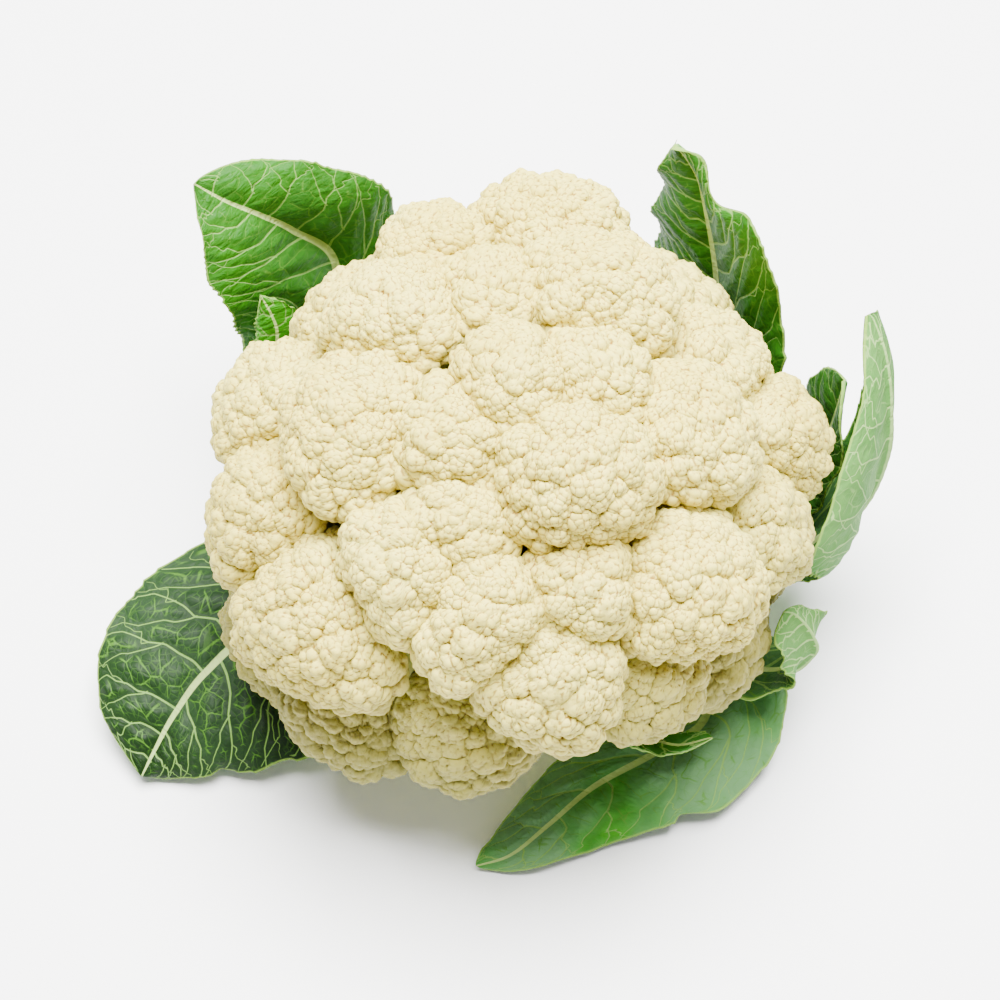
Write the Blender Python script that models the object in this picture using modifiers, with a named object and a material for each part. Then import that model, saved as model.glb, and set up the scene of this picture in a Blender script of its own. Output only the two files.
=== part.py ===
# A head of cauliflower that stands on its cut stalk: florets, stalk and the leaves left on.
# The script works in metres with +Z up. Lengths below are in millimetres and MM turns them.

import math

import bmesh
import bpy
from mathutils import Matrix, Vector

MM = 0.001

# The stalk: radius and height of each ring, from the flat cut up to the crown.
STALK_PROFILE = [(24, 0), (25, 1.5), (23.5, 9), (23, 18), (24.5, 28), (27.5, 38)]
STALK_SIDES = 28
CROWN_HEIGHT = 38
CROWN_RADIUS = 27.5
CROWN_RINGS = 5

# Florets fan out from the middle of the crown.
# Each one: azimuth and elevation in degrees, reach from the crown's middle, width of its head.
FLORETS = {
    "floret_center": (-62, 70, 130, 59),
    "floret_top_front": (-122, 75, 122, 32),
    "floret_top": (-75, 84, 126, 32),
    "floret_top_right": (-12, 77, 122, 32),
    "floret_top_back": (45, 70, 127, 48),
    "floret_top_back_mid": (103, 76, 121, 26),
    "floret_top_left_back": (145, 71, 124, 40),
    "floret_back": (78, 52, 126, 46),
    "floret_back_left": (114, 59, 123, 36),
    "floret_back_right": (46, 42, 112, 38),
    "floret_right_back": (20, 50, 115, 38),
    "floret_right_top": (-14, 60, 122, 42),
    "floret_left_top": (-160, 66, 124, 48),
    "floret_left_back": (172, 46, 114, 35),
    "floret_left_back_upper": (134, 50, 110, 36),
    "floret_left": (-162, 43, 113, 38),
    "floret_front_upper": (-106, 64, 118, 29),
    "floret_front_left_upper": (-116, 56, 120, 36),
    "floret_front_middle": (-95, 52, 121, 36),
    "floret_front_left": (-134, 38, 116, 52),
    "floret_front_right_upper": (-71, 54, 118, 31),
    "floret_front": (-80, 42, 116, 36),
    "floret_front_right": (-46, 45, 119, 54),
    "floret_right": (4, 38, 116, 36),
    "floret_right_front": (-15, 37, 110, 34),
    "floret_low_front_right": (-57, 30, 100, 28),
    "floret_low_right": (-33, 17, 93, 30),
    "floret_low_front": (-100, 23, 96, 32),
    "floret_low_front_left": (-128, 15, 96, 34),
    "floret_low_left": (-154, 9, 94, 34),
    "floret_low_left_back": (176, 18, 92, 42),
    "floret_low_back_left": (139, 22, 88, 42),
    "floret_low_back": (104, 26, 92, 48),
    "floret_low_back_right": (67, 22, 90, 40),
    "floret_low_right_back": (29, 16, 85, 38),
    "floret_low_right_side": (-4, 14, 89, 32),
}
FLORET_GAP = 0.7
FLORET_SPREAD = 1.45    # how far a lone head would spread past its width
FLORET_DEPTH = 0.90     # depth of a head against half its width
BRANCH_WIDTH = 0.20     # width of the branch's foot against the head's width
BRANCH_SIDES = 8
BRANCH_LIFT = 2         # gap between the crown and the branch's foot
NEIGHBOUR_ANGLE = 70    # florets farther round than this never meet
UNDERSIDE = 40.5        # nothing of a floret hangs lower
WELD = 0.3
CLOSE = 0.001           # points this near a pressing plane count as on it

# Leaves, from the stalk to the tip. Each station is the midrib, then the margin on its left
# and the margin on its right, seen from above the leaf's upper face.
LEAVES = {
    "leaf_back_left": {
        "cup": 3, "rib": 7.0,
        "stations": [
            ((-17, 17, 18), (-21, 13, 18), (-13, 21, 18)),
            ((-37, 43, 23), (-45, 36, 24), (-28, 51, 24)),
            ((-59, 81, 45), (-82, 62, 50), (-32, 98, 50)),
            ((-56, 90, 79), (-87, 62, 76), (-34, 100, 86)),
            ((-68, 87, 99), (-90, 61, 92), (-38, 97, 110)),
            ((-77, 84, 110), (-93, 63, 103), (-56, 97, 120)),
            ((-87, 83, 118), (-95, 72, 113), (-73, 95, 125)),
            ((-96, 84, 125), (-97, 81, 122), (-93, 88, 128)),
        ],
    },
    "leaflet_left": {
        "cup": 1.5, "rib": 3.5,
        "stations": [
            ((-23.5, 9, 26), (-24.5, 6, 26), (-22.5, 12, 26)),
            ((-50, 25, 31), (-53, 19, 31), (-46, 31, 31)),
            ((-77, 47, 42), (-81, 39, 44), (-71, 56, 43)),
            ((-76, 56, 62), (-82, 49, 62), (-69, 64, 60)),
            ((-73, 60, 78), (-82, 56, 77), (-63, 67, 74)),
            ((-74, 62, 86), (-80, 59, 85), (-66, 68, 84)),
            ((-77, 64, 94), (-78, 63, 93), (-76, 65, 94)),
        ],
    },
    "leaf_back_right": {
        "cup": 3, "rib": 6.5,
        "stations": [
            ((17, 17, 18), (13, 21, 18), (21, 13, 18)),
            ((40, 42, 23), (29, 50, 24), (49, 32, 24)),
            ((68, 69, 44), (38, 92, 50), (87, 43, 50)),
            ((70, 73, 72), (45, 95, 66), (89, 39, 76)),
            ((68, 76, 90), (48, 96, 80), (87, 45, 100)),
            ((66, 79, 101), (48, 97, 90), (82, 54, 121)),
            ((64, 81, 110), (48, 98, 98), (75, 65, 130)),
            ((62, 84, 118), (48, 98, 106), (67, 77, 123)),
            ((60, 87, 124), (48, 98, 115), (63, 83, 128)),
            ((56, 90, 130), (50, 97, 123), (59, 87, 133)),
            ((52, 92, 134), (51, 93, 132), (53, 92, 135)),
        ],
    },
    "leaf_right": {
        "cup": -4, "rib": 6.5,
        "stations": [
            ((24.5, -2, 18), (24.5, 3, 18), (23.5, -7, 18)),
            ((52, -2, 23), (52, 8, 24), (52, -11, 24)),
            ((87, 2, 35), (86, 22, 36), (88, -12, 42)),
            ((109, 8, 54), (107, 36, 54), (97, -18, 56)),
            ((117, 16, 76), (115, 44, 76), (90.5, -24, 71)),
            ((117, 25, 92), (116.5, 49, 92), (99.5, -6, 89)),
            ((115, 36, 103), (115, 51, 102), (107, 19, 101)),
            ((111, 45, 110), (112, 48, 109), (110, 41, 110)),
        ],
    },
    "leaf_right_inner": {
        "cup": 1.5, "rib": 4.0,
        "stations": [
            ((24.5, 9.5, 27), (22.5, 13.5, 27), (26, 5.5, 27)),
            ((54, 17, 31), (50, 26, 31), (56, 9, 31)),
            ((92, 25, 44), (89, 40, 47), (94, 10, 46)),
            ((101, 27, 64), (95, 44, 66), (103, 10, 64)),
            ((103, 27, 83), (98, 43, 84), (103, 12, 82)),
            ((104, 29, 98), (102, 34, 98), (104, 22, 97)),
        ],
    },
    "leaf_right_low": {
        "cup": 2, "rib": 4.0,
        "stations": [
            ((21, -14, 25), (23, -10.5, 25), (19, -17, 25)),
            ((52, -26, 27), (54, -19, 28), (49, -33, 27)),
            ((84, -35, 29), (90, -22, 30), (76, -47, 31)),
            ((95, -35, 41), (101, -21, 39), (86, -50, 45)),
            ((94, -34, 50), (99, -23, 48), (85, -49, 54)),
            ((89, -32, 58), (94, -26, 54), (82, -46, 60)),
            ((85, -32, 61), (88, -28, 60), (82.5, -37, 62)),
        ],
    },
    "leaf_front": {
        "cup": 2.5, "rib": 6.5,
        "stations": [
            ((15, -21, 11), (19, -18, 11), (11, -23.5, 11)),
            ((42, -28, 13), (48, -20, 14), (34, -36, 12)),
            ((63, -37, 16), (87, -25, 14), (44, -40, 14)),
            ((62, -49, 18), (90, -49, 12), (37, -43, 15)),
            ((46, -59, 17), (70, -74, 8), (30, -47, 14)),
            ((28, -68, 13), (49, -80, 6), (17, -57, 12)),
            ((14, -79, 9), (29, -86, 5), (5, -70, 10)),
            ((2, -88, 6), (9, -92, 3.5), (-5, -83, 7)),
            ((-9, -91, 4), (-8, -93, 3), (-10, -88, 5)),
        ],
    },
    "leaf_front_left": {
        "cup": 3, "rib": 7.0,
        "stations": [
            ((-22, -12, 16), (-19, -16, 16), (-24, -7, 16)),
            ((-50, -15, 20), (-46, -24, 18), (-54, -6, 21)),
            ((-80, -18, 22), (-54, -53, 12), (-87, 18, 25)),
            ((-96, -31, 20), (-72, -60, 9), (-116, 4, 25)),
            ((-106, -44, 15), (-90, -62, 6), (-130, -17, 22)),
            ((-112, -54, 10), (-102, -61, 4), (-131, -39, 16)),
            ((-116, -61, 6), (-113, -62, 4), (-119, -59, 7)),
        ],
    },
    "leaflet_front": {
        "cup": 1, "rib": 2.5,
        "stations": [
            ((9, -24, 27), (11, -23, 27), (7, -25, 27)),
            ((22, -44, 31), (26, -41, 31), (17, -46, 31)),
            ((38, -57, 33), (44, -52, 33), (31, -61, 33)),
            ((52, -64, 35), (56, -58, 35), (48, -68, 34)),
            ((64, -62, 36), (65, -60, 36), (62, -64, 36)),
        ],
    },
}
LEAF_ROWS = 20
LEAF_COLUMNS = 8
BLADE = 1.8             # thickness of the blade
RIB_WIDTH = 0.30        # half width of the thick midrib against half the leaf's width
RIB_FADE = 1.3          # how fast it thins toward the tip
PETIOLE = 0.15          # share of the length that is bare stem
PETIOLE_EDGE = 0.3      # how much thinner the stem is at its sides
STEP = 0.02             # step along the midrib that gives its direction

COLORS = {
    "curd": ((0.87, 0.80, 0.62, 1), 0.75),
    "stalk": ((0.72, 0.78, 0.50, 1), 0.6),
    "leaf": ((0.07, 0.22, 0.045, 1), 0.5),
}


def clear_scene():
    for item in list(bpy.data.objects):
        bpy.data.objects.remove(item, do_unlink=True)


def material(name, kind):
    """A material of its own for one piece."""
    mat = bpy.data.materials.new(name)
    mat.use_nodes = True
    shader = mat.node_tree.nodes["Principled BSDF"]
    color, roughness = COLORS[kind]
    shader.inputs["Base Color"].default_value = color
    shader.inputs["Roughness"].default_value = roughness
    shader.inputs["Metallic"].default_value = 0.0
    return mat


def finish(bm, name, kind, collection):
    """Turn a mesh in millimetres into a named object in metres."""
    bmesh.ops.scale(bm, vec=(MM, MM, MM), verts=bm.verts)
    mesh = bpy.data.meshes.new(name)
    bm.to_mesh(mesh)
    bm.free()
    obj = bpy.data.objects.new(name, mesh)
    obj.data.materials.append(material(name + "_surface", kind))
    collection.objects.link(obj)
    return obj


def direction(azimuth, elevation):
    a, e = math.radians(azimuth), math.radians(elevation)
    return Vector((math.cos(e) * math.cos(a), math.cos(e) * math.sin(a), math.sin(e)))


# ---- stalk ----

def build_stalk(collection):
    """The cut stem, a turned shape whose round crown carries the florets."""
    crown = [(CROWN_RADIUS * math.cos(t), CROWN_HEIGHT + CROWN_RADIUS * math.sin(t))
             for t in (math.pi / 2 * i / CROWN_RINGS for i in range(1, CROWN_RINGS))]
    profile = [(0, 0)] + STALK_PROFILE + crown + [(0, CROWN_HEIGHT + CROWN_RADIUS)]
    bm = bmesh.new()
    verts = [bm.verts.new((r, 0, z)) for r, z in profile]
    edges = [bm.edges.new(pair) for pair in zip(verts, verts[1:])]
    bmesh.ops.spin(bm, geom=verts + edges, cent=(0, 0, 0), axis=(0, 0, 1),
                   angle=2 * math.pi, steps=STALK_SIDES, use_merge=True)
    bmesh.ops.remove_doubles(bm, verts=bm.verts, dist=CLOSE)
    bmesh.ops.recalc_face_normals(bm, faces=bm.faces)
    return finish(bm, "stalk", "stalk", collection)


# ---- florets ----

def floret_blank(azimuth, elevation, reach, width):
    """A round head on a tapering branch, before its neighbours press on it."""
    axis = direction(azimuth, elevation)
    turn = axis.to_track_quat("Z", "Y").to_matrix().to_4x4()
    lateral = width / 2 * FLORET_SPREAD
    depth = width / 2 * FLORET_DEPTH
    bm = bmesh.new()
    place = Matrix.Translation((0, 0, reach - depth)) @ Matrix.Diagonal((lateral, lateral, depth, 1))
    bmesh.ops.create_icosphere(bm, subdivisions=3, radius=1, matrix=place)
    foot = CROWN_RADIUS + FLORET_GAP
    bmesh.ops.create_circle(bm, segments=BRANCH_SIDES, radius=width * BRANCH_WIDTH,
                            matrix=Matrix.Translation((0, 0, foot + BRANCH_LIFT)))
    bm = wrapped(bm)
    bmesh.ops.transform(bm, matrix=Matrix.Translation((0, 0, CROWN_HEIGHT)) @ turn, verts=bm.verts)
    return bm


def wrapped(bm):
    """A closed convex skin over the points of a mesh."""
    bmesh.ops.remove_doubles(bm, verts=bm.verts, dist=WELD)
    skin = bmesh.new()
    for vert in bm.verts:
        skin.verts.new(vert.co)
    bm.free()
    hull = bmesh.ops.convex_hull(skin, input=skin.verts)
    spare = {item for item in hull["geom_interior"] + hull["geom_unused"]
             if isinstance(item, bmesh.types.BMVert)}
    bmesh.ops.delete(skin, geom=list(spare), context="VERTS")
    return skin


def press(bm, point, normal):
    """Take away what lies beyond a plane. The skin is closed again afterwards."""
    bmesh.ops.bisect_plane(bm, geom=bm.verts[:] + bm.edges[:] + bm.faces[:], dist=CLOSE,
                           plane_co=point, plane_no=normal, clear_outer=True)


def build_floret(name, collection):
    """One floret, pressed flat along the planes that it shares with its neighbours."""
    azimuth, elevation, reach, width = FLORETS[name]
    axis = direction(azimuth, elevation)
    middle = Vector((0, 0, CROWN_HEIGHT))
    bm = floret_blank(azimuth, elevation, reach, width)
    for other, (azimuth_2, elevation_2, reach_2, width_2) in FLORETS.items():
        axis_2 = direction(azimuth_2, elevation_2)
        angle = axis.angle(axis_2)
        if other == name or angle > math.radians(NEIGHBOUR_ANGLE):
            continue
        share = (width / reach) / (width / reach + width_2 / reach_2)
        hinge = axis.cross(axis_2).normalized()
        border = Matrix.Rotation(angle * share, 3, hinge) @ axis
        normal = hinge.cross(border)
        press(bm, middle - normal * FLORET_GAP / 2, normal)
    press(bm, Vector((0, 0, UNDERSIDE)), Vector((0, 0, -1)))
    bm = wrapped(bm)
    bmesh.ops.recalc_face_normals(bm, faces=bm.faces)
    return finish(bm, name, "curd", collection)


# ---- leaves ----

def curve_point(points, t):
    """A smooth curve through the points, with t from 0 at the first to 1 at the last."""
    span = len(points) - 1
    i = min(int(t * span), span - 1)
    f = t * span - i
    b, c = points[i], points[i + 1]
    a = points[i - 1] if i > 0 else b * 2 - c
    d = points[i + 2] if i + 2 <= span else c * 2 - b
    return 0.5 * (2 * b + (c - a) * f + (2 * a - 5 * b + 4 * c - d) * f * f
                  + (3 * b - a - 3 * c + d) * f ** 3)


def leaf_point(leaf, along, across):
    """A point of the leaf's upper face, across from -1 at the left to 1 at the right."""
    rib, left, right = ([Vector(s[k]) for s in leaf["stations"]] for k in range(3))
    middle = curve_point(rib, along)
    side = curve_point(left if across < 0 else right, along)
    ahead = curve_point(rib, min(along + STEP, 1)) - curve_point(rib, max(along - STEP, 0))
    width = curve_point(right, along) - curve_point(left, along)
    up = width.cross(ahead).normalized()
    bulge = leaf["cup"] * math.sin(math.pi * along) * math.sin(math.pi * abs(across))
    return middle.lerp(side, abs(across)) + up * bulge


def build_leaf(name, collection):
    """A leaf: a thin blade that thickens along its midrib toward the stalk."""
    leaf = LEAVES[name]
    bm = bmesh.new()
    bmesh.ops.create_grid(bm, x_segments=LEAF_COLUMNS, y_segments=LEAF_ROWS, size=0.5)
    rib_share = BLADE / leaf["rib"]
    shares = []
    for vert in bm.verts:
        across, along = vert.co.x * 2, vert.co.y + 0.5
        hump = math.exp(-(across / RIB_WIDTH) ** 2)
        if along <= PETIOLE:
            hump = 1 - PETIOLE_EDGE * abs(across)
        shares.append(rib_share + (1 - rib_share) * hump * (1 - along) ** RIB_FADE)
        vert.co = leaf_point(leaf, along, across)
    obj = finish(bm, name, "leaf", collection)
    group = obj.vertex_groups.new(name="thickness")
    for index, share in enumerate(shares):
        group.add([index], share, "REPLACE")
    solid = obj.modifiers.new("Thickness", "SOLIDIFY")
    solid.thickness = leaf["rib"] * MM
    solid.offset = -1
    solid.vertex_group = group.name
    return obj


def main():
    clear_scene()
    collection = bpy.data.collections.new("cauliflower")
    bpy.context.scene.collection.children.link(collection)
    build_stalk(collection)
    for name in FLORETS:
        build_floret(name, collection)
    for name in LEAVES:
        build_leaf(name, collection)


main()
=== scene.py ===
# A head of cauliflower: packed florets on a cut stalk, with the leaves left on.
import math

import bmesh
import bpy
import numpy as np
from mathutils import Matrix, Vector


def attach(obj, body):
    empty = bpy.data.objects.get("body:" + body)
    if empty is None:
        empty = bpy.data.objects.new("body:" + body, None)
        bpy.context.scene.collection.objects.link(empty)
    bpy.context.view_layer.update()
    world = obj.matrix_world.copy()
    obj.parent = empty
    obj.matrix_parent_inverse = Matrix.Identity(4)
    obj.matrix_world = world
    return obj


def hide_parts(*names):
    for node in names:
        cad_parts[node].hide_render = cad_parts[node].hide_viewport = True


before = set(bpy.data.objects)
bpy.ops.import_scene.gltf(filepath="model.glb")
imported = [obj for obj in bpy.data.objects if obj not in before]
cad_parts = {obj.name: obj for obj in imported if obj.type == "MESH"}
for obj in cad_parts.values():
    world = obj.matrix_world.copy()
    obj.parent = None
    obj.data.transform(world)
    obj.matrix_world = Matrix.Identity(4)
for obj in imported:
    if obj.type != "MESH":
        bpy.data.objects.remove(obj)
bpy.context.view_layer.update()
mm = 0.001
collection = bpy.context.scene.collection
coarser = 1.0
batch = 4000                             # points compared at a time, which keeps memory small


class Wire:
    # a shader output that can be used in ordinary Python sums
    def __init__(self, finish, socket):
        self.finish = finish
        self.socket = socket

    def math(self, operation, a, b=0.0, clamp=False):
        return self.finish.node("ShaderNodeMath", {"operation": operation, "use_clamp": clamp}, {0: a, 1: b})

    def __add__(self, other):
        return self.math("ADD", self, other)

    def __radd__(self, other):
        return self.math("ADD", other, self)

    def __sub__(self, other):
        return self.math("SUBTRACT", self, other)

    def __rsub__(self, other):
        return self.math("SUBTRACT", other, self)

    def __mul__(self, other):
        return self.math("MULTIPLY", self, other)

    def __rmul__(self, other):
        return self.math("MULTIPLY", other, self)

    def __truediv__(self, other):
        return self.math("DIVIDE", self, other)

    def __rtruediv__(self, other):
        return self.math("DIVIDE", other, self)

    def __pow__(self, other):
        return self.math("POWER", self, other)

    def most(self, other):
        return self.math("MAXIMUM", self, other)

    def absolute(self):
        return self.math("ABSOLUTE", self)

    def clamped(self):
        return self.math("ADD", self, 0.0, True)


class Finish:
    # one material and the nodes that make it
    def __init__(self, name):
        self.material = bpy.data.materials.new(name)
        self.material.use_nodes = True
        self.tree = self.material.node_tree
        self.shader = self.tree.nodes["Principled BSDF"]

    def node(self, kind, settings=None, sockets=None, out=0):
        made = self.tree.nodes.new(kind)
        for key, value in (settings or {}).items():
            setattr(made, key, value)
        for key, value in (sockets or {}).items():
            if isinstance(value, Wire):
                self.tree.links.new(value.socket, made.inputs[key])
            else:
                made.inputs[key].default_value = value
        return Wire(self, made.outputs[out])

    def place(self):
        return self.node("ShaderNodeTexCoord", out="Object")

    def attribute(self, name):
        return self.node("ShaderNodeAttribute", {"attribute_name": name}, out="Fac")

    def axis(self, at, letter):
        return self.node("ShaderNodeSeparateXYZ", None, {0: at}, letter)

    def noise(self, at, scale, detail=4.0, roughness=0.55):
        return self.node("ShaderNodeTexNoise", None,
                         {"Vector": at, "Scale": scale, "Detail": detail, "Roughness": roughness})

    def cells(self, at, scale, feature="F1", jitter=1.0):
        return self.node("ShaderNodeTexVoronoi", {"feature": feature},
                         {"Vector": at, "Scale": scale, "Randomness": jitter}, "Distance")

    def span(self, value, low, high, lowTo=0.0, highTo=1.0):
        return self.node("ShaderNodeMapRange", {"interpolation_type": "SMOOTHSTEP"},
                         {0: value, 1: low, 2: high, 3: lowTo, 4: highTo})

    def blend(self, factor, a, b, how="MIX"):
        return self.node("ShaderNodeMix", {"data_type": "RGBA", "blend_type": how},
                         {0: factor, 6: color4(a), 7: color4(b)}, out=2)

    def bump(self, height, strength, distance, under=None):
        sockets = {"Strength": strength, "Distance": distance, "Height": height}
        if under is not None:
            sockets["Normal"] = under
        return self.node("ShaderNodeBump", None, sockets, "Normal")

    def surface(self, **values):
        # plain values go on the shader's own sockets, wires are linked
        for key, value in values.items():
            socket = self.shader.inputs[key.replace("_", " ")]
            if isinstance(value, Wire):
                self.tree.links.new(value.socket, socket)
            else:
                socket.default_value = value
        return self.material


def color4(value):
    return value if isinstance(value, Wire) else (*value[:3], 1)


def settle(mesh, name, finish, slot, *nodes):
    # a finished mesh becomes a piece of the head
    piece = bpy.data.objects.new(name, mesh)
    collection.objects.link(piece)
    mesh.materials.append(finish)
    mesh.shade_smooth()
    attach(piece, "root")
    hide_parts(*nodes)
    return piece


def points(mesh):
    co = np.empty(len(mesh.vertices) * 3)
    mesh.vertices.foreach_get("co", co)
    return co.reshape(-1, 3)


def normals(mesh):
    out = np.empty(len(mesh.vertices) * 3)
    mesh.vertex_normals.foreach_get("vector", out)
    return out.reshape(-1, 3)


def movePoints(mesh, co):
    mesh.vertices.foreach_set("co", np.ascontiguousarray(co, dtype=np.float32).ravel())
    mesh.update()


def paint(mesh, name, values):
    layer = mesh.attributes.new(name, "FLOAT", "POINT")
    layer.data.foreach_set("value", np.asarray(values, dtype=np.float32))


def squaredAway(co, spots):
    # squared distance from every point to every spot
    return (co ** 2).sum(axis=1)[:, None] + (spots ** 2).sum(axis=1) - 2 * co @ spots.T


def smooth(value, low, high):
    t = np.clip((value - low) / (high - low), 0, 1)
    return t * t * (3 - 2 * t)


def direction(azimuth, elevation):
    a, e = math.radians(azimuth), math.radians(elevation)
    return Vector((math.cos(e) * math.cos(a), math.cos(e) * math.sin(a), math.sin(e)))


# azimuth and elevation in degrees, reach from the crown's middle and width of the head in mm
florets = {
    "floret_center": (-62, 70, 130, 59),
    "floret_top_front": (-122, 75, 122, 32),
    "floret_top": (-75, 84, 126, 32),
    "floret_top_right": (-12, 77, 122, 32),
    "floret_top_back": (45, 70, 127, 48),
    "floret_top_back_mid": (103, 76, 121, 26),
    "floret_top_left_back": (145, 71, 124, 40),
    "floret_back": (78, 52, 126, 46),
    "floret_back_left": (114, 59, 123, 36),
    "floret_back_right": (46, 42, 112, 38),
    "floret_right_back": (20, 50, 115, 38),
    "floret_right_top": (-14, 60, 122, 42),
    "floret_left_top": (-160, 66, 124, 48),
    "floret_left_back": (172, 46, 114, 35),
    "floret_left_back_upper": (134, 50, 110, 36),
    "floret_left": (-162, 43, 113, 38),
    "floret_front_upper": (-106, 64, 118, 29),
    "floret_front_left_upper": (-116, 56, 120, 36),
    "floret_front_middle": (-95, 52, 121, 36),
    "floret_front_left": (-134, 38, 116, 52),
    "floret_front_right_upper": (-71, 54, 118, 31),
    "floret_front": (-80, 42, 116, 36),
    "floret_front_right": (-46, 45, 119, 54),
    "floret_right": (4, 38, 116, 36),
    "floret_right_front": (-15, 37, 110, 34),
    "floret_low_front_right": (-57, 30, 100, 28),
    "floret_low_right": (-33, 17, 93, 30),
    "floret_low_front": (-100, 23, 96, 32),
    "floret_low_front_left": (-128, 15, 96, 34),
    "floret_low_left": (-154, 9, 94, 34),
    "floret_low_left_back": (176, 18, 92, 42),
    "floret_low_back_left": (139, 22, 88, 42),
    "floret_low_back": (104, 26, 92, 48),
    "floret_low_back_right": (67, 22, 90, 40),
    "floret_low_right_back": (29, 16, 85, 38),
    "floret_low_right_side": (-4, 14, 89, 32),
}

curd = {
    "middle": 38,          # height of the point that the branches fan out from
    "foot": 29,            # where a branch starts, from that point
    "gap": 0.1,            # between two bare heads
    "neighbour": 70,       # degrees past which two florets share no border
    "corner": 7.0,         # higher gives a head sharper corners
    "spread": 1.45,        # how far a lone head would spread past its width
    "depth": 0.88,         # depth of a head against half its width
    "fullness": 2.4,       # 2 is round, more is squarer
    "headShare": 125,      # degrees of the sphere that become the head, the rest the branch
    "inset": 2.8,          # how far the bare head lies under the tops of its lobes
    "pinch": 0.6,          # how much narrower it is
    "footWidth": 0.2,      # half the width of the branch's foot, against the head's width
    "edge": 0.48,          # length of a mesh edge
    "hiddenEdge": 0.75,    # the same on the florets that turn away from the viewer
    "turned": 0.30,        # how far those turn away, as a cosine
    "quarter": 0.79,       # a quarter of the way round a head, against its width
    "lobe": 7.0,           # room of a lobe, of a cluster on it and of a bud
    "cluster": 3.1,
    "bud": 1.52,
    "lobeHeight": 0.47,    # height of each against its room
    "clusterHeight": 0.36,
    "budHeight": 0.36,
    "variety": 0.28,       # how much the rooms differ
    "crease": 0.56,        # lower is rounder, higher is flatter with a narrow crease
    "tries": 9000,         # points that lobes, clusters and buds choose from
    "seed": 41,
}


def borders(name, local):
    # outward normals of the planes shared with the neighbours, in the floret's own directions
    azimuth, elevation, reach, width = florets[name]
    axis = direction(azimuth, elevation)
    found = []
    for other, (azimuth2, elevation2, reach2, width2) in florets.items():
        axis2 = direction(azimuth2, elevation2)
        angle = axis.angle(axis2)
        if other == name or angle > math.radians(curd["neighbour"]):
            continue
        share = (width / reach) / (width / reach + width2 / reach2)
        hinge = axis.cross(axis2).normalized()
        border = Matrix.Rotation(angle * share, 3, hinge) @ axis
        found.append(hinge.cross(border))
    found.append(Vector((0, 0, -1)))
    return np.array([local.inverted() @ n for n in found])


def cellAngle(planes, around, own):
    # how far the floret reaches from its axis in each direction around it
    toward = planes[:, :1] * np.cos(around) + planes[:, 1:2] * np.sin(around)
    reach = np.where(toward > 0.02, np.arctan2(-planes[:, 2:3], np.maximum(toward, 0.02)), 9.0)
    reach = np.vstack([reach, np.full(len(around), own)])
    return (reach ** -curd["corner"]).sum(axis=0) ** (-1 / curd["corner"])


def pack(co, size, started, rng):
    # spots that cover the points, each with a room of its own, the started ones first
    some = co[rng.permutation(len(co))[:curd["tries"]]]
    waiting = list(started)
    spots, rooms = [], []
    free = np.full(len(some), 9.0)      # from the nearest spot so far, in rooms
    while free.max() > 1:
        spot = waiting.pop() if waiting else some[free.argmax()]
        room = size * rng.uniform(1 - curd["variety"], 1 + curd["variety"])
        free = np.minimum(free, np.linalg.norm(some - spot, axis=1) / room)
        spots.append(spot)
        rooms.append(room)
    return np.array(spots), np.array(rooms)


def domes(co, spots, rooms):
    # 1 on a spot and 0 in the crease between two of them, and which spot is the nearest
    rise, owner = np.empty(len(co)), np.empty(len(co), dtype=int)
    middle = co.mean(axis=0)
    spots = (spots - middle).astype(np.float32)
    rooms = rooms.astype(np.float32)
    for start in range(0, len(co), batch):
        part = (co[start:start + batch] - middle).astype(np.float32)
        rows = np.arange(len(part))
        away = np.maximum(squaredAway(part, spots), 0) / rooms ** 2
        pick = away.argmin(axis=1)
        first = away[rows, pick]
        away[rows, pick] = 1e9
        rise[start:start + batch] = np.sqrt(1 - (first / away.min(axis=1)) ** curd["crease"])
        owner[start:start + batch] = pick
    return rise, owner


def blankSphere(name, cuts):
    # an even ball of squares, with a radius of 1
    bm = bmesh.new()
    bmesh.ops.create_cube(bm, size=2)
    bmesh.ops.subdivide_edges(bm, edges=bm.edges, cuts=cuts, use_grid_fill=True)
    mesh = bpy.data.meshes.new(name)
    bm.to_mesh(mesh)
    bm.free()
    co = np.tan(points(mesh) * math.pi / 4)      # evens out the squares
    movePoints(mesh, co / np.linalg.norm(co, axis=1, keepdims=True))
    return mesh


def highest(rise, owner, count):
    # the point that is the farthest up each dome
    order = np.lexsort((rise, owner))
    last = np.searchsorted(owner[order], np.arange(count), side="right") - 1
    last = last[last >= 0]
    return np.unique(order[last])


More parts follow.
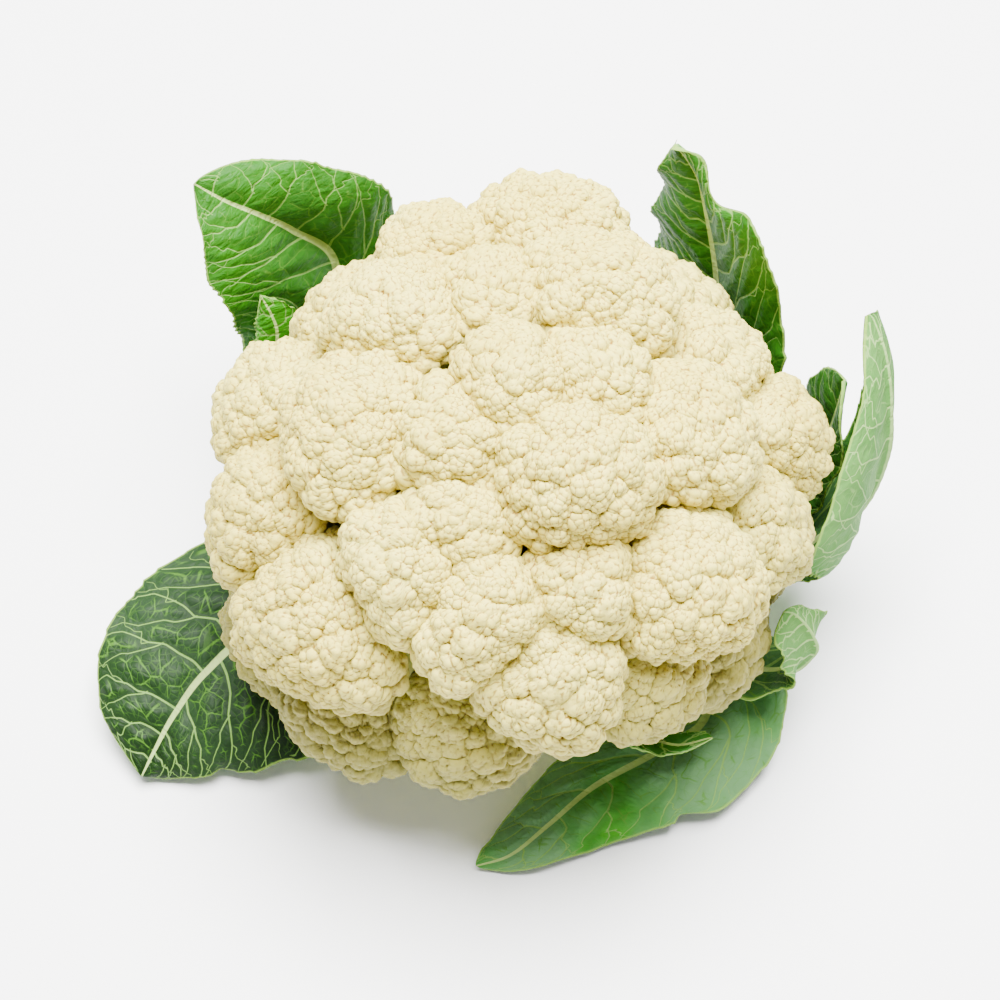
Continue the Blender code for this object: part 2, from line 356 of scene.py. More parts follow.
def makeFloret(name, finish, seed):
    azimuth, elevation, reach, width = florets[name]
    rng = np.random.default_rng(seed)
    axis = direction(azimuth, elevation)
    local = axis.to_track_quat("Z", "Y").to_matrix()
    planes = borders(name, local)
    depth = width / 2 * curd["depth"]
    waist = reach - depth
    own = width / 2 * curd["spread"] / waist
    hidden = axis.dot(direction(-90, view["elevation"])) < curd["turned"]
    edge = coarser * (curd["hiddenEdge"] if hidden else curd["edge"])
    mesh = blankSphere(name, int(width * curd["quarter"] / edge))
    s = points(mesh)
    polar = np.degrees(np.arccos(np.clip(s[:, 2], -1, 1)))
    around = np.arctan2(s[:, 1], s[:, 0])
    limit = cellAngle(planes, around, own) - curd["gap"] / 2 / waist
    power = 2 / curd["fullness"]
    # t runs from the head's top to its rim as a quarter turn, and q from the rim to the foot
    t = np.clip(polar / curd["headShare"], 0, 1) * math.pi / 2
    q = np.clip((polar - curd["headShare"]) / (180 - curd["headShare"]), 0, 1)
    side = limit * waist * np.sin(t) ** power * (1 - curd["pinch"] / width)
    out = waist + (depth - curd["inset"]) * np.clip(np.cos(t), 0, 1) ** power
    footWidth = width * curd["footWidth"]
    side = np.where(q > 0, side + (footWidth - side) * smooth(q, 0, 0.8), side)
    side *= 1 - smooth(q, 0.88, 1.0)
    out = out + (curd["foot"] - waist) * np.clip(q / 0.92, 0, 1) ** 1.2
    lean = np.minimum(side / out, limit)
    flat = np.stack([np.sin(lean) * np.cos(around), np.sin(lean) * np.sin(around), np.cos(lean)], axis=1)
    co = (flat * out[:, None]) @ np.array(local).T + np.array([0, 0, curd["middle"]])
    head = 1 - smooth(q, 0.02, 0.30)
    movePoints(mesh, co)

    # lobes, clusters on the lobes and buds on the clusters
    tilt = t / (math.pi / 2)
    alone = smooth(limit / own, 0.82, 0.97)      # no neighbour on this side
    head = head * np.maximum(smooth(tilt, 1.02, 0.9), alone)
    tops = []
    spots = [co[tilt.argmin()]]
    for level in ("lobe", "cluster", "bud"):
        n = normals(mesh)
        spots, rooms = pack(co[head > 0.1], curd[level], spots, rng)
        rise, owner = domes(co, spots, rooms)
        height = rooms * curd[level + "Height"] * rng.uniform(0.75, 1.2, len(rooms))
        co = co + n * (rise * height[owner] * head)[:, None]
        movePoints(mesh, co)
        spots = co[highest(rise, owner, len(spots))]
        tops.append(rise)
    movePoints(mesh, co * mm)
    for label, rise in zip(("lobeTop", "clusterTop", "budTop"), tops):
        paint(mesh, label, rise)
    paint(mesh, "branch", 1 - head)
    paint(mesh, "shoulderShade", tilt)
    return settle(mesh, name + "_curd", finish, "curd", name)


curdTint = {
    "ivory": (0.68, 0.59, 0.120),
    "cream": (0.64, 0.53, 0.085),      # in wide patches over the ivory
    "grain": (0.76, 0.69, 0.23),
    "foldShade": (0.25, 0.14, 0.008),       # painted shade in the creases between lobes, clusters and buds
    "shoulderShade": (0.30, 0.23, 0.035),   # painted shade where a head turns in towards its branch
    "speck": (0.16, 0.07, 0.025),
    "low": (0.15, 0.145, 0.022),       # painted shade and green bounce light on the florets nearest the stalk
    "branch": (0.30, 0.32, 0.08),
    "paleBranch": (0.40, 0.40, 0.13),
}


def curdFinish():
    # ivory curd with velvety grain, painted warm shade in the folds and where each head turns in, and
    # painted shade with green bounce light low down; the branches are smooth and greenish
    f = Finish("curdIvory")
    at = f.place()
    lobeTop, clusterTop, budTop = (f.attribute(n) for n in ("lobeTop", "clusterTop", "budTop"))
    branch, shoulderShade = f.attribute("branch"), f.attribute("shoulderShade")
    grain = f.cells(at, 1500)
    patches = f.noise(at, 24, 3)
    fine = f.noise(at, 480, 5, 0.6)
    ivory = f.blend(f.span(patches, 0.38, 0.66), curdTint["ivory"], curdTint["cream"])
    ivory = f.blend(f.span(fine, 0.3, 0.75) * 0.3, ivory, curdTint["grain"])
    # how deep a point lies in the creases: this sets the painted shade there and keeps the specks in the bud
    # creases
    budFold = f.span(budTop, 0.22, 0.62, 1.0, 0.0)
    clusterFold = f.span(clusterTop, 0.15, 0.58, 1.0, 0.0)
    lobeFold = f.span(lobeTop, 0.12, 0.50, 1.0, 0.0)
    foldShade = budFold * (0.78 + clusterFold * 0.22) + clusterFold * 0.25 + lobeFold * 0.30
    # painted warm shade in the creases between lobes, clusters and buds
    warm = f.blend(foldShade.clamped(), ivory, curdTint["foldShade"])
    # painted shade where each head turns in towards its branch
    warm = f.blend(f.span(shoulderShade, 0.75, 1.0) * 0.6, warm, curdTint["shoulderShade"])
    specks = f.span(f.noise(at, 1100, 2), 0.58, 0.66) * f.span(f.noise(at, 45, 2), 0.48, 0.60)
    warm = f.blend(specks * budFold * 0.9, warm, curdTint["speck"])
    # painted shade, tinted green like light bounced off the leaves, darker towards the bottom of the curd
    warm = f.blend(f.span(f.axis(at, "Z"), 0.050, 0.128, 0.85, 0.0), warm, curdTint["low"])
    green = f.blend(f.span(f.noise(at, 60, 3), 0.3, 0.7), curdTint["branch"], curdTint["paleBranch"])
    color = f.blend(branch, warm, green)
    rough = 0.62 + fine * 0.18 - branch * 0.15
    height = (1 - grain) * 0.6 + fine * 0.5
    bump = f.bump(height * (1 - branch * 0.75), 0.5, 0.0003)
    return f.surface(Base_Color=color, Roughness=rough, Normal=bump, Subsurface_Weight=0.16,
                     Subsurface_Radius=(1.0, 0.62, 0.30), Subsurface_Scale=0.0009, Specular_IOR_Level=0.3)


# Stations from the stalk to the tip, in mm: the midrib, then the margin on its left and the
# margin on its right as seen over the leaf's upper face.
leaves = {
    "leaf_back_left": {
        "cup": 3, "rib": 3.2, "sides": 7, "ruffle": 2.0, "waves": 3, "teeth": 0.03, "lobes": 0.05,
        "quilt": 1.0, "age": 0.1, "bloom": 0.05, "notches": [],
        "stations": [
            ((-17, 17, 18), (-21, 13, 18), (-13, 21, 18)),
            ((-37, 43, 23), (-45, 36, 24), (-28, 51, 24)),
            ((-59, 81, 45), (-82, 62, 50), (-32, 98, 50)),
            ((-56, 90, 79), (-87, 62, 76), (-34, 100, 86)),
            ((-68, 87, 99), (-90, 61, 92), (-38, 97, 110)),
            ((-77, 84, 110), (-93, 63, 103), (-56, 97, 120)),
            ((-87, 83, 118), (-95, 72, 113), (-73, 95, 125)),
            ((-96, 84, 125), (-97, 81, 122), (-93, 88, 128)),
        ],
    },
    "leaflet_left": {
        "cup": 1.0, "rib": 1.7, "sides": 5, "ruffle": 1.0, "waves": 3, "teeth": 0.22, "lobes": 0.10,
        "quilt": 0.4, "age": -0.35, "bloom": 0.0, "notches": [],
        "stations": [
            ((-23.5, 9, 26), (-24.5, 6, 26), (-22.5, 12, 26)),
            ((-50, 25, 31), (-53, 19, 31), (-46, 31, 31)),
            ((-77, 47, 42), (-81, 39, 44), (-71, 56, 43)),
            ((-76, 56, 62), (-82, 49, 62), (-69, 64, 60)),
            ((-73, 60, 78), (-82, 56, 77), (-63, 67, 74)),
            ((-74, 62, 86), (-80, 59, 85), (-66, 68, 84)),
            ((-77, 64, 94), (-78, 63, 93), (-76, 65, 94)),
        ],
    },
    "leaf_back_right": {
        "cup": 2.5, "rib": 3.0, "sides": 8, "ruffle": 2.4, "waves": 4, "teeth": 0.04, "lobes": 0.06,
        "quilt": 1.0, "age": 0.3, "bloom": 0.05, "notches": [],
        "stations": [
            ((17, 17, 18), (13, 21, 18), (21, 13, 18)),
            ((40, 42, 23), (29, 50, 24), (49, 32, 24)),
            ((68, 69, 44), (38, 92, 50), (87, 43, 50)),
            ((70, 73, 72), (45, 95, 66), (89, 39, 76)),
            ((68, 76, 90), (48, 96, 80), (87, 45, 100)),
            ((66, 79, 101), (48, 97, 90), (82, 54, 121)),
            ((64, 81, 110), (48, 98, 98), (75, 65, 130)),
            ((62, 84, 118), (48, 98, 106), (67, 77, 123)),
            ((60, 87, 124), (48, 98, 115), (63, 83, 128)),
            ((56, 90, 130), (50, 97, 123), (59, 87, 133)),
            ((52, 92, 134), (51, 93, 132), (53, 92, 135)),
        ],
    },
    "leaf_right": {
        "cup": -4, "rib": 2.6, "sides": 8, "ruffle": 1.5, "waves": 4, "teeth": 0.05, "lobes": 0.05,
        "quilt": 0.9, "age": 0.5, "bloom": 0.4, "notches": [],
        "stations": [
            ((24.5, -2, 18), (24.5, 3, 18), (23.5, -7, 18)),
            ((52, -2, 23), (52, 8, 24), (52, -11, 24)),
            ((87, 2, 35), (86, 22, 36), (88, -12, 42)),
            ((109, 8, 54), (107, 36, 54), (97, -18, 56)),
            ((117, 16, 76), (115, 44, 76), (90.5, -24, 71)),
            ((117, 25, 92), (116.5, 49, 92), (99.5, -6, 89)),
            ((115, 36, 103), (115, 51, 102), (107, 19, 101)),
            ((111, 45, 110), (112, 48, 109), (110, 41, 110)),
        ],
    },
    "leaf_right_inner": {
        "cup": 1.5, "rib": 2.0, "sides": 5, "ruffle": 1.4, "waves": 3, "teeth": 0.03, "lobes": 0.08,
        "quilt": 0.7, "age": 0.5, "bloom": 0.1, "notches": [],
        "stations": [
            ((24.5, 9.5, 27), (22.5, 13.5, 27), (26, 5.5, 27)),
            ((54, 17, 31), (50, 26, 31), (56, 9, 31)),
            ((92, 25, 44), (89, 40, 47), (94, 10, 46)),
            ((101, 27, 64), (95, 44, 66), (103, 10, 64)),
            ((103, 27, 83), (98, 43, 84), (103, 12, 82)),
            ((104, 29, 98), (102, 34, 98), (104, 22, 97)),
        ],
    },
    "leaf_right_low": {
        "cup": 1.5, "rib": 1.8, "sides": 6, "ruffle": 1.6, "waves": 4, "teeth": 0.06, "lobes": 0.08,
        "quilt": 0.7, "age": 0.45, "bloom": 0.4, "notches": [],
        "stations": [
            ((21, -14, 25), (23, -10.5, 25), (19, -17, 25)),
            ((52, -26, 27), (54, -19, 28), (49, -33, 27)),
            ((84, -35, 29), (90, -22, 30), (76, -47, 31)),
            ((95, -35, 41), (101, -21, 39), (86, -50, 45)),
            ((94, -34, 50), (99, -23, 48), (85, -49, 54)),
            ((89, -32, 58), (94, -26, 54), (82, -46, 60)),
            ((85, -32, 61), (88, -28, 60), (82.5, -37, 62)),
        ],
    },
    "leaf_front": {
        "cup": 2.5, "rib": 2.8, "sides": 6, "ruffle": 1.6, "waves": 4, "teeth": 0.02, "lobes": 0.05,
        "quilt": 1.2, "age": -0.6, "bloom": 1.1, "notches": [(-1, 0.56, 0.14, 0.03)],
        "stations": [
            ((15, -21, 11), (19, -18, 11), (11, -23.5, 11)),
            ((42, -28, 13), (48, -20, 14), (34, -36, 12)),
            ((63, -37, 16), (87, -25, 14), (44, -40, 14)),
            ((62, -49, 18), (90, -49, 12), (37, -43, 15)),
            ((46, -59, 17), (70, -74, 8), (30, -47, 14)),
            ((28, -68, 13), (49, -80, 6), (17, -57, 12)),
            ((14, -79, 9), (29, -86, 5), (5, -70, 10)),
            ((2, -88, 6), (9, -92, 3.5), (-5, -83, 7)),
            ((-9, -91, 4), (-8, -93, 3), (-10, -88, 5)),
        ],
    },
    "leaf_front_left": {
        "cup": 3, "rib": 3.0, "sides": 6, "ruffle": 1.6, "waves": 3, "teeth": 0.025, "lobes": 0.04,
        "quilt": 1.4, "age": 1.0, "bloom": 0.12, "notches": [(-1, 0.65, 0.11, 0.04)],
        "stations": [
            ((-22, -12, 16), (-19, -16, 16), (-24, -7, 16)),
            ((-50, -15, 20), (-46, -24, 18), (-54, -6, 21)),
            ((-80, -18, 22), (-54, -53, 12), (-87, 18, 25)),
            ((-96, -31, 20), (-72, -60, 9), (-116, 4, 25)),
            ((-106, -44, 15), (-90, -62, 6), (-130, -17, 22)),
            ((-112, -54, 10), (-102, -61, 4), (-131, -39, 16)),
            ((-116, -61, 6), (-113, -62, 4), (-119, -59, 7)),
        ],
    },
    "leaflet_front": {
        "cup": 1, "rib": 1.2, "sides": 4, "ruffle": 1.0, "waves": 3, "teeth": 0.2, "lobes": 0.1,
        "quilt": 0.3, "age": 0.1, "bloom": 0.0, "notches": [],
        "stations": [
            ((9, -24, 27), (11, -23, 27), (7, -25, 27)),
            ((22, -44, 31), (26, -41, 31), (17, -46, 31)),
            ((38, -57, 33), (44, -52, 33), (31, -61, 33)),
            ((52, -64, 35), (56, -58, 35), (48, -68, 34)),
            ((64, -62, 36), (65, -60, 36), (62, -64, 36)),
        ],
    },
}

leafMake = {
    "edge": 0.84,          # length of a mesh edge
    "blade": 0.9,          # thickness of the blade
    "sideRib": 0.45,       # radius of a side vein at the midrib
    "petiole": 0.16,       # share of the length that is bare stem
    "rib": 0.62,           # radius of the midrib at the stalk, against the leaf's own value
    "ribTip": 0.25,        # and at the tip
    "lowest": 0.3,         # height over the floor that no leaf goes below
    "toothStep": 5.0,      # distance between teeth
    "netCell": 7.5,        # size of the mesh of small veins
    "young": (0.009, 0.078, 0.001),
    "old": (0.002, 0.011, 0.001),
    "mottle": (1.6, 1.35, 1.3),      # how much lighter its light patches are
    "besideVein": (1.5, 1.25, 1.1),  # and how much lighter than those it is beside a vein
    "netTint": (0.050, 0.135, 0.012),
    "veinTint": (0.13, 0.24, 0.05),
    "ribTint": (0.29, 0.39, 0.12),
    "bloomTint": (0.090, 0.185, 0.080),
    "marginTint": (0.19, 0.31, 0.05),
    "stemTint": (0.33, 0.43, 0.15),
    "back": (0.045, 0.145, 0.024),   # the underside, its light patches, small veins and veins
    "backLight": (0.075, 0.185, 0.040),
    "backNet": (0.14, 0.26, 0.070),
    "backVein": (0.22, 0.34, 0.11),
    "grain": (0.9, 1.0, 0.8),        # laid over all of it
}


def alongCurve(stops, t):
    # a smooth curve through the stops, with t from 0 at the first to 1 at the last
    stops = np.asarray(stops, dtype=float)
    span = len(stops) - 1
    i = np.minimum((t * span).astype(int), span - 1)
    f = (t * span - i)[:, None]
    padded = np.vstack([stops[0] * 2 - stops[1], stops, stops[-1] * 2 - stops[-2]])
    a, b, c, d = (padded[i + k] for k in range(4))
    return 0.5 * (2 * b + (c - a) * f + (2 * a - 5 * b + 4 * c - d) * f * f
                  + (3 * b - a - 3 * c + d) * f ** 3)


def marginReach(leaf, along, side, flip):
    # how far out the margin is against its full width: shallow lobes, small forward teeth, notches
    waves = along * leaf["waves"]
    lobes = 0.5 * np.sin(waves * 9.4 + flip * 2) + 0.4 * np.sin(waves * 17.3 + flip)
    steps = along * leaf["length"] / leafMake["toothStep"] + 0.5 * np.sin(along * 21 + flip)
    tooth = (steps % 1.0) ** 2 * (0.65 + 0.35 * np.sin(along * 37 + flip))
    cut = leaf["lobes"] * (0.5 - 0.5 * lobes) + leaf["teeth"] * (1 - tooth)
    for notchSide, at, depth, width in leaf["notches"]:
        cut = cut + (side == notchSide) * depth * np.exp(-((along - at) / width) ** 2)
    return 1 - cut


def leafSheet(leaf, across, along, phase):
    # points and upward normals of the upper face, with ruffled and toothed margins
    stops = [[s[k] for s in leaf["stations"]] for k in range(3)]
    middle = alongCurve(stops[0], along)
    left, right = alongCurve(stops[1], along), alongCurve(stops[2], along)
    edge = np.where((across < 0)[:, None], left, right)
    ahead = (alongCurve(stops[0], np.minimum(along + 0.02, 1))
             - alongCurve(stops[0], np.maximum(along - 0.02, 0)))
    up = np.cross(right - left, ahead)
    up /= np.linalg.norm(up, axis=1, keepdims=True)
    e = np.abs(across)
    blade = smooth(along, leafMake["petiole"] * 0.7, leafMake["petiole"] * 1.8)
    flip = np.where(across < 0, 0.0, 2.1) + phase
    waves = np.sin(along * leaf["waves"] * 2 * math.pi + flip)
    ripple = np.sin(along * leaf["waves"] * 5.3 + flip * 1.7)
    lift = leaf["cup"] * np.sin(math.pi * along) * np.sin(math.pi * e)
    lift = lift + blade * e ** 3 * leaf["ruffle"] * (0.7 * waves + 0.4 * ripple)
    reach = 1 - blade * e ** 4 * (1 - marginReach(leaf, along, np.sign(across), flip))
    reach = reach * np.sqrt(1.002 - np.clip((along - 0.92) / 0.08, 0, 1) ** 2)
    at = middle + (edge - middle) * (e * reach)[:, None] + up * lift[:, None]
    return at, up


def sideVein(sign, root, climb, bend, reach, thick, rng):
    # one side vein, kinked a little, as (across, along, radius)
    s = np.linspace(0, 1, 90)
    knots = np.linspace(0, 1, 8)
    kinks = rng.normal(0, 0.007, 8) * (knots > 0)
    along = root + climb * s ** bend + np.interp(s, knots, kinks)
    return np.stack([sign * s * reach, along, thick * (1 - 0.72 * s)], axis=1)


def veinLines(leaf, rng):
    # the midrib, then side veins that climb and fork before the margin
    t = np.linspace(0, 1, 240)
    ribWidth = leaf["rib"] * leafMake["rib"] * (1 - t) ** 0.9 + leafMake["ribTip"]
    lines = [np.stack([np.zeros_like(t), t, ribWidth], axis=1)]
    start = leafMake["petiole"]
    for sign in (-1, 1):
        for k in range(leaf["sides"]):
            share = (k + 0.25 + 0.35 * (sign > 0) + rng.uniform(-0.12, 0.12)) / leaf["sides"]
            thick = leafMake["sideRib"] * (1.15 - 0.6 * share)
            body = sideVein(sign, start + (0.95 - start) * share,
                            0.18 * (1.2 - share) + rng.uniform(0, 0.04), 1.2, 0.96, thick, rng)
            lines.append(body)
            forks = ((0.075, rng.uniform(0.3, 0.5), 0.75, 0.8), (-0.05, rng.uniform(0.55, 0.7), 0.6, 1.0))
            for turn, forkAt, size, bend in forks:
                fork = body[int(forkAt * (len(body) - 1))]
                rise = body[-1, 1] - fork[1] + turn
                branch = sideVein(sign, 0, rise, bend, 0.95 - fork[0] * sign, fork[2] * size, rng)
                branch[:, :2] += fork[:2]
                lines.append(branch)
    return [line[(line[:, 1] > 0) & (line[:, 1] < 0.985)] for line in lines]


def nearestVein(co, up, leaf, lines, phase):
    # distance across the nearest vein, with a sign for its side, plain distance and its radius
    traced = [leafSheet(leaf, line[:, 0], line[:, 1], phase)[0] for line in lines]
    tangents = np.vstack([np.gradient(line, axis=0) for line in traced])
    veins, spots = np.vstack(lines), np.vstack(traced)
    middle = co.mean(axis=0)
    near = np.empty(len(co), dtype=int)
    target = (spots - middle).astype(np.float32)
    for start in range(0, len(co), batch):
        part = (co[start:start + batch] - middle).astype(np.float32)
        near[start:start + batch] = squaredAway(part, target).argmin(axis=1)
    offset = co - spots[near]
    sideways = np.cross(up, tangents[near])
    sideways /= np.linalg.norm(sideways, axis=1, keepdims=True)
    return (offset * sideways).sum(axis=1), np.linalg.norm(offset, axis=1), veins[near, 2]


def makeLeaf(name, finish, slot, seed):
    leaf = leaves[name]
    rng = np.random.default_rng(seed)
    phase = rng.uniform(0, 6)
    stops = np.array([[s[k] for s in leaf["stations"]] for k in range(3)], dtype=float)
    leaf["length"] = np.linalg.norm(np.diff(stops[0], axis=0), axis=1).sum()
    width = np.linalg.norm(stops[1] - stops[2], axis=1).max()
    edge = coarser * leafMake["edge"]
    bm = bmesh.new()
    bmesh.ops.create_grid(bm, x_segments=int(width / edge), y_segments=int(leaf["length"] / edge), size=0.5)
    bmesh.ops.solidify(bm, geom=bm.faces[:], thickness=0.02)
    mesh = bpy.data.meshes.new(name)
    bm.to_mesh(mesh)
    bm.free()
    flat = points(mesh)
    under = np.abs(flat[:, 2]) > 0.01
    across, along = flat[:, 0] * 2, flat[:, 1] + 0.5
    co, up = leafSheet(leaf, across, along, phase)
    lines = veinLines(leaf, rng)
    ribSide, ribFar, ribRadius = nearestVein(co, up, leaf, lines[:1], phase)
    veinFar, radius = ribFar, ribRadius
    # side veins, their first forks and their second forks are told apart, so none cuts another short
    groups = [nearestVein(co, up, leaf, lines[first::3], phase) for first in (1, 2, 3)]
    for side, far, thick in groups:
        radius = np.where(far - thick < veinFar - radius, thick, radius)
        veinFar = np.where(radius == thick, far, veinFar)
    ribShape = np.sqrt(np.clip(1 - (ribFar / ribRadius / 1.05) ** 2, 0, 1))
    blade = smooth(along, leafMake["petiole"] * 0.6, leafMake["petiole"] * 1.6)
    margin = smooth(np.abs(across), 1.0, 0.86)
    quilt = leaf["quilt"] * smooth(veinFar, 0, 6.0) * blade * margin
    vein = np.exp(-(veinFar / (radius + 0.5)) ** 2) * blade
    thick = leafMake["blade"] * (0.55 + 0.45 * margin)
    ridge = vein * radius * 0.8 + ribShape * ribRadius * 1.5
    lift = np.where(under, quilt * 0.8 - thick - ridge, quilt - vein * 0.12 + ribShape * ribRadius * 0.2)
    co = co + up * lift[:, None]
    co[:, 2] = np.maximum(co[:, 2], leafMake["lowest"])
    movePoints(mesh, co * mm)
    bm = bmesh.new()
    bm.from_mesh(mesh)
    bmesh.ops.recalc_face_normals(bm, faces=bm.faces)
    bm.to_mesh(mesh)
    bm.free()
    halfWidth = 0.5 * np.linalg.norm(alongCurve(stops[1], along) - alongCurve(stops[2], along), axis=1)
    corner = np.empty(len(mesh.loops), dtype=np.int32)
    mesh.loops.foreach_get("vertex_index", corner)
    flatMap = np.stack([across * np.maximum(halfWidth, width * 0.2), along * leaf["length"]], axis=1)
    uv = mesh.uv_layers.new(name="leafMap")
    uv.data.foreach_set("uv", (flatMap[corner] / leafMake["netCell"]).astype(np.float32).ravel())
    for label, (side, far, thick) in zip("ABC", groups):
        paint(mesh, "veinSide" + label, side)
        paint(mesh, "veinPast" + label, far - thick)
        paint(mesh, "veinRadius" + label, thick)
    paint(mesh, "veinFar", veinFar)
    paint(mesh, "ribSide", ribSide / ribRadius)
    paint(mesh, "under", under)
    paint(mesh, "stem", 1 - blade)
    paint(mesh, "edgeFar", (1 - np.abs(across)) * halfWidth)
    return settle(mesh, name + "_blade", finish, slot, name)


def leafFinish(name):
    # waxy green blade, thin pale veins and a greyish bloom; the underside is paler and dull
    leaf = leaves[name]
    f = Finish(name + "Green")
    at = f.place()
    net = f.node("ShaderNodeUVMap", {"uv_map": "leafMap"})
    far = f.attribute("veinFar")
    under, stem, edgeFar = f.attribute("under"), f.attribute("stem"), f.attribute("edgeFar")
    rib = f.span(f.attribute("ribSide").absolute(), 0.75, 1.05, 1.0, 0.0)
    wobble = f.node("ShaderNodeTexNoise", None, {"Vector": net, "Scale": 0.9, "Detail": 3.0}, "Color")
    bent = f.node("ShaderNodeVectorMath", {"operation": "MULTIPLY_ADD"},
                  {0: wobble, 1: (0.5, 0.5, 0), 2: net})
    netLines = f.cells(bent, 1.0, "DISTANCE_TO_EDGE")
    smallLines = f.cells(bent, 2.9, "DISTANCE_TO_EDGE")
    patches = f.noise(at, 38, 4)
    fine = f.noise(at, 420, 4)
    age = leaf["age"]
    young, old, mottle = leafMake["young"], leafMake["old"], leafMake["mottle"]
    deep = tuple(a + (b - a) * age for a, b in zip(young, old))
    light = tuple(a * m for a, m in zip(deep, mottle))
    blade = f.blend(f.span(patches, 0.34, 0.68), deep, light)
    beside = tuple(a * m for a, m in zip(light, leafMake["besideVein"]))
    blade = f.blend(f.span(far, 0.0, 2.5, 0.5, 0.0), blade, beside)
    bloom = f.span(f.noise(at, 22, 3), 0.36, 0.62) * leaf["bloom"]
    blade = f.blend(bloom * 0.8, blade, leafMake["bloomTint"])
    line = 0.0
    for label in "ABC":
        across = f.attribute("veinSide" + label).absolute() - f.attribute("veinRadius" + label)
        stroke = f.span(across, -0.10, 0.16, 1.0, 0.0)
        line = (stroke * f.span(f.attribute("veinPast" + label), 0.45, 0.9, 1.0, 0.0)).most(line)
    away = f.span(far, 0.8, 2.5)
    fineLine = (f.span(netLines, 0.010, 0.038, 1.0, 0.0) * 0.70
                + f.span(smallLines, 0.01, 0.07, 1.0, 0.0) * 0.24) * away
    upper = f.blend(fineLine.clamped(), blade, leafMake["netTint"])
    upper = f.blend(line * 0.9, upper, leafMake["veinTint"])
    upper = f.blend(rib, upper, leafMake["ribTint"])
    back = f.blend(f.span(patches, 0.3, 0.7), leafMake["back"], leafMake["backLight"])
    back = f.blend(fineLine.clamped(), back, leafMake["backNet"])
    back = f.blend(line.most(rib) * 0.9, back, leafMake["backVein"])
    color = f.blend(under, upper, back)
    color = f.blend(f.span(edgeFar, 0.35, 1.0, 0.75, 0.0), color, leafMake["marginTint"])
    color = f.blend(stem, color, leafMake["stemTint"])
    color = f.blend(fine * 0.15, color, leafMake["grain"], "OVERLAY")
    swell = f.span(netLines, 0.0, 0.30) * 0.8 + f.span(smallLines, 0.0, 0.3) * 0.35
    height = (swell + line * 0.8) * (1 - under * 1.7) - line * (1 - under) * 1.4
    bump = f.bump(height * (1 - stem) + fine * 0.15, 0.6, 0.00045)
    rough = 0.46 + fine * 0.16 + under * 0.2 + bloom * 0.2
    return f.surface(Base_Color=color, Roughness=rough, Normal=bump, Specular_IOR_Level=0.12,
                     Subsurface_Weight=0.06, Subsurface_Radius=(0.4, 1.0, 0.2), Subsurface_Scale=0.0012)


stalk = {
    "rings": [(24, 0), (24.7, 0.8), (24.9, 1.6), (23.5, 9), (23.2, 18), (24.3, 28),
              (26.5, 38), (24, 50), (14, 60), (0, 64)],         # radius and height in mm
    "sides": 180,
    "scars": [(-95, 20), (-140, 26), (75, 20), (110, 27),
              (-175, 24), (15, 12), (-60, 24), (185, 10)],      # turn in degrees and height in mm
    "scarSize": (21, 5.5),                                      # half of each, in the same
    "vesselRing": (0.0165, 0.0180, 0.0195, 0.0210),             # radii in m: it fades in and out
    "rindFrom": (0.0215, 0.0235),
    "skin": (0.34, 0.44, 0.17),
    "paleSkin": (0.48, 0.55, 0.28),
    "cork": (0.46, 0.40, 0.22),
    "paleCork": (0.60, 0.56, 0.36),
    "pith": (0.62, 0.62, 0.42),
    "greenPith": (0.55, 0.57, 0.35),
    "vessels": (0.42, 0.48, 0.20),
    "rind": (0.34, 0.42, 0.14),
    "dried": (0.40, 0.28, 0.12),
}


def makeStalk(finish):
    # the turned stem, with the scars where the trimmed leaves were
    bm = bmesh.new()
    rings = [(0, 0)] + stalk["rings"]
    verts = [bm.verts.new((r * mm, 0, z * mm)) for r, z in rings]
    edges = [bm.edges.new(pair) for pair in zip(verts, verts[1:])]
    bmesh.ops.subdivide_edges(bm, edges=edges, cuts=12)
    bmesh.ops.spin(bm, geom=bm.verts[:] + bm.edges[:], cent=(0, 0, 0), axis=(0, 0, 1),
                   angle=2 * math.pi, steps=stalk["sides"], use_merge=True)
    bmesh.ops.remove_doubles(bm, verts=bm.verts, dist=0.00001)
    bmesh.ops.recalc_face_normals(bm, faces=bm.faces)
    mesh = bpy.data.meshes.new("stalk")
    bm.to_mesh(mesh)
    bm.free()
    co = points(mesh) / mm
    r = np.hypot(co[:, 0], co[:, 1])
    around = np.degrees(np.arctan2(co[:, 1], co[:, 0]))
    side = smooth(r, 20, 23) * smooth(co[:, 2], 0.8, 3)
    lift = np.zeros(len(co))
    scar = np.zeros(len(co))
    scarWide, scarHigh = stalk["scarSize"]
    for turn, height in stalk["scars"]:
        away = (around - turn + 180) % 360 - 180
        d = np.hypot(away / scarWide, (co[:, 2] - height) / scarHigh)
        lift += 0.9 * np.exp(-(d / 0.95) ** 4) - 0.7 * np.exp(-((d - 1.05) / 0.22) ** 2)
        scar = np.maximum(scar, smooth(d, 1.0, 0.75))
    lift = (lift + 0.25 * np.sin(np.radians(around) * 11 + co[:, 2] * 0.2)) * side
    unit = np.stack([co[:, 0], co[:, 1], np.zeros(len(co))], axis=1) / np.maximum(r, 1e-6)[:, None]
    movePoints(mesh, (co + unit * lift[:, None]) * mm)
    paint(mesh, "scar", scar * side)
    paint(mesh, "cutFace", smooth(co[:, 2], 0.8, 0.2))
    return settle(mesh, "stalk_stem", finish, "stalk", "stalk")


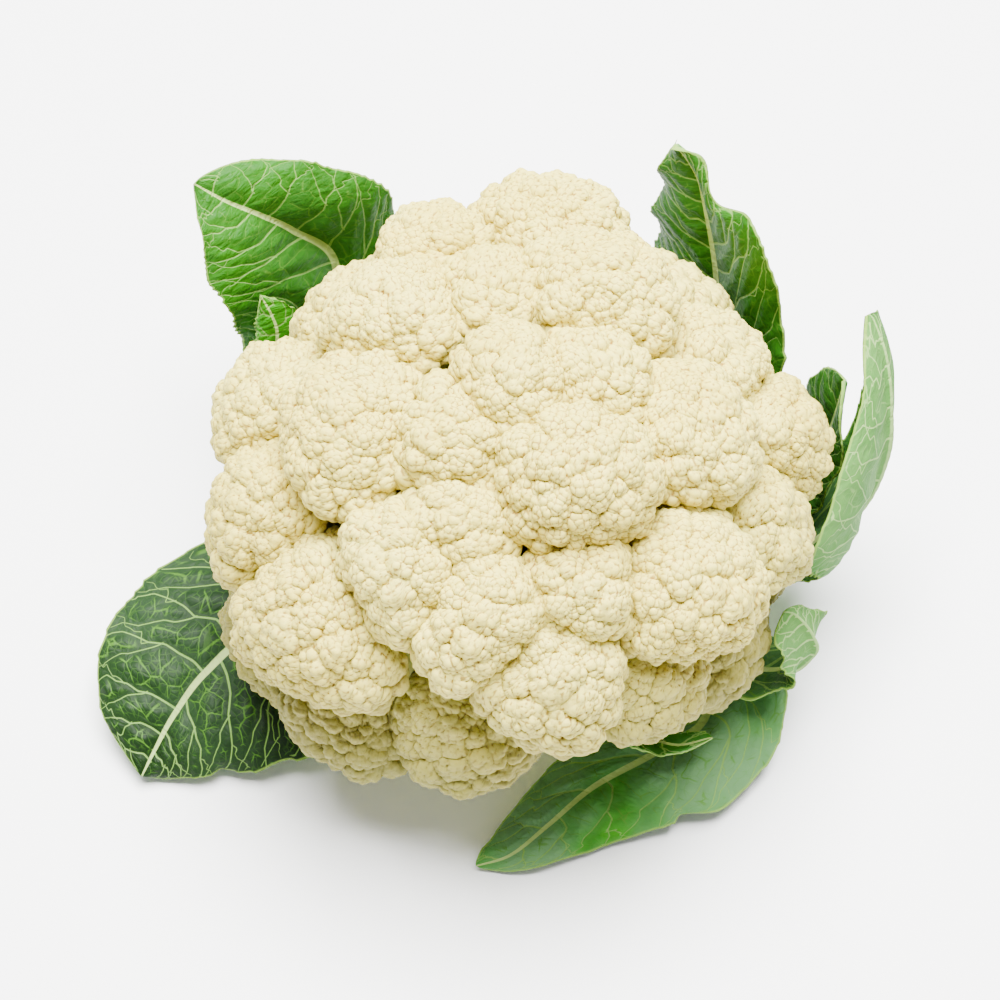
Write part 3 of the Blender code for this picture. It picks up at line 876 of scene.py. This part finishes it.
def stalkFinish():
    # pale green skin, corky scars, and a cut face with a ring of vessels around the pith
    f = Finish("stalkGreen")
    at = f.place()
    scar, cutFace = f.attribute("scar"), f.attribute("cutFace")
    x, y = f.axis(at, "X"), f.axis(at, "Y")
    r = (x * x + y * y) ** 0.5
    drawn = f.node("ShaderNodeMapping", None, {0: at, 3: (260, 260, 22)})
    streak = f.noise(drawn, 1.0, 4.0, 0.5)
    fine = f.noise(at, 500, 4)
    skin = f.blend(f.span(streak, 0.3, 0.7), stalk["skin"], stalk["paleSkin"])
    skin = f.blend(scar, skin, f.blend(fine, stalk["cork"], stalk["paleCork"]))
    rays = f.noise(at, 900, 3)
    pith = f.blend(f.span(rays, 0.35, 0.65), stalk["pith"], stalk["greenPith"])
    inner, full, fading, outer = stalk["vesselRing"]
    ring = f.span(r, inner, full) * f.span(r, fading, outer, 1.0, 0.0)
    vessels = f.blend(ring, pith, stalk["vessels"])
    vessels = f.blend(f.span(r, *stalk["rindFrom"]), vessels, stalk["rind"])
    vessels = f.blend(f.span(f.noise(at, 110, 4), 0.5, 0.8) * 0.5, vessels, stalk["dried"])
    color = f.blend(cutFace, skin, vessels)
    bump = f.bump(streak * 0.5 + fine * 0.5, 0.5, 0.0004)
    return f.surface(Base_Color=color, Roughness=0.42 + fine * 0.2, Normal=bump,
                     Subsurface_Weight=0.15, Subsurface_Radius=(0.8, 1.0, 0.4), Subsurface_Scale=0.003)


view = {
    "elevation": 58,
    "distance": 720,
    "lens": 85,
    "target": (-1.5, -4.4, 82),
    "ambient": 0.50,
    "keyPlace": (0.03, 0.24, 1.58),     # in m, with the point it lights, its size and its power in W
    "keyAim": (0, 0, 0.08),
    "keySize": 1.1,
    "keyPower": 205,
    "floorSize": 3,                     # half its side, in m
    "floor": (0.97, 0.97, 0.97, 1),
}


def makeStage():
    # a pale floor, the camera, a white sky and one soft lamp overhead
    bm = bmesh.new()
    bmesh.ops.create_grid(bm, x_segments=1, y_segments=1, size=view["floorSize"])
    mesh = bpy.data.meshes.new("floor")
    bm.to_mesh(mesh)
    bm.free()
    floor = bpy.data.objects.new("floor", mesh)
    collection.objects.link(floor)
    f = Finish("paleFloor")
    mesh.materials.append(f.surface(Base_Color=view["floor"], Roughness=0.7))

    camera = bpy.data.cameras.new("camera")
    camera.lens = view["lens"]
    camera.clip_start = 0.01
    holder = bpy.data.objects.new("camera", camera)
    collection.objects.link(holder)
    away = direction(-90, view["elevation"])
    holder.location = (Vector(view["target"]) + away * view["distance"]) * mm
    holder.rotation_euler = away.to_track_quat("Z", "Y").to_euler()
    bpy.context.scene.camera = holder

    world = bpy.data.worlds.new("studio")
    world.use_nodes = True
    sky = world.node_tree.nodes["Background"]
    sky.inputs["Color"].default_value = (1, 1, 1, 1)
    sky.inputs["Strength"].default_value = view["ambient"]
    bpy.context.scene.world = world

    light = bpy.data.lights.new("key", "AREA")
    light.size = view["keySize"]
    light.energy = view["keyPower"]
    lamp = bpy.data.objects.new("key", light)
    collection.objects.link(lamp)
    lamp.location = view["keyPlace"]
    aim = Vector(view["keyAim"]) - lamp.location
    lamp.rotation_euler = aim.to_track_quat("-Z", "Y").to_euler()


makeStage()
print("stage ready")
curdMaterial = curdFinish()
for index, name in enumerate(florets):
    makeFloret(name, curdMaterial, curd["seed"] + index)
print("florets ready")
for index, name in enumerate(leaves):
    young = name.startswith("leaflet")
    makeLeaf(name, leafFinish(name), "leaf_young" if young else "leaf", 7 + index)
print("leaves ready")
makeStalk(stalkFinish())
print("stalk ready")
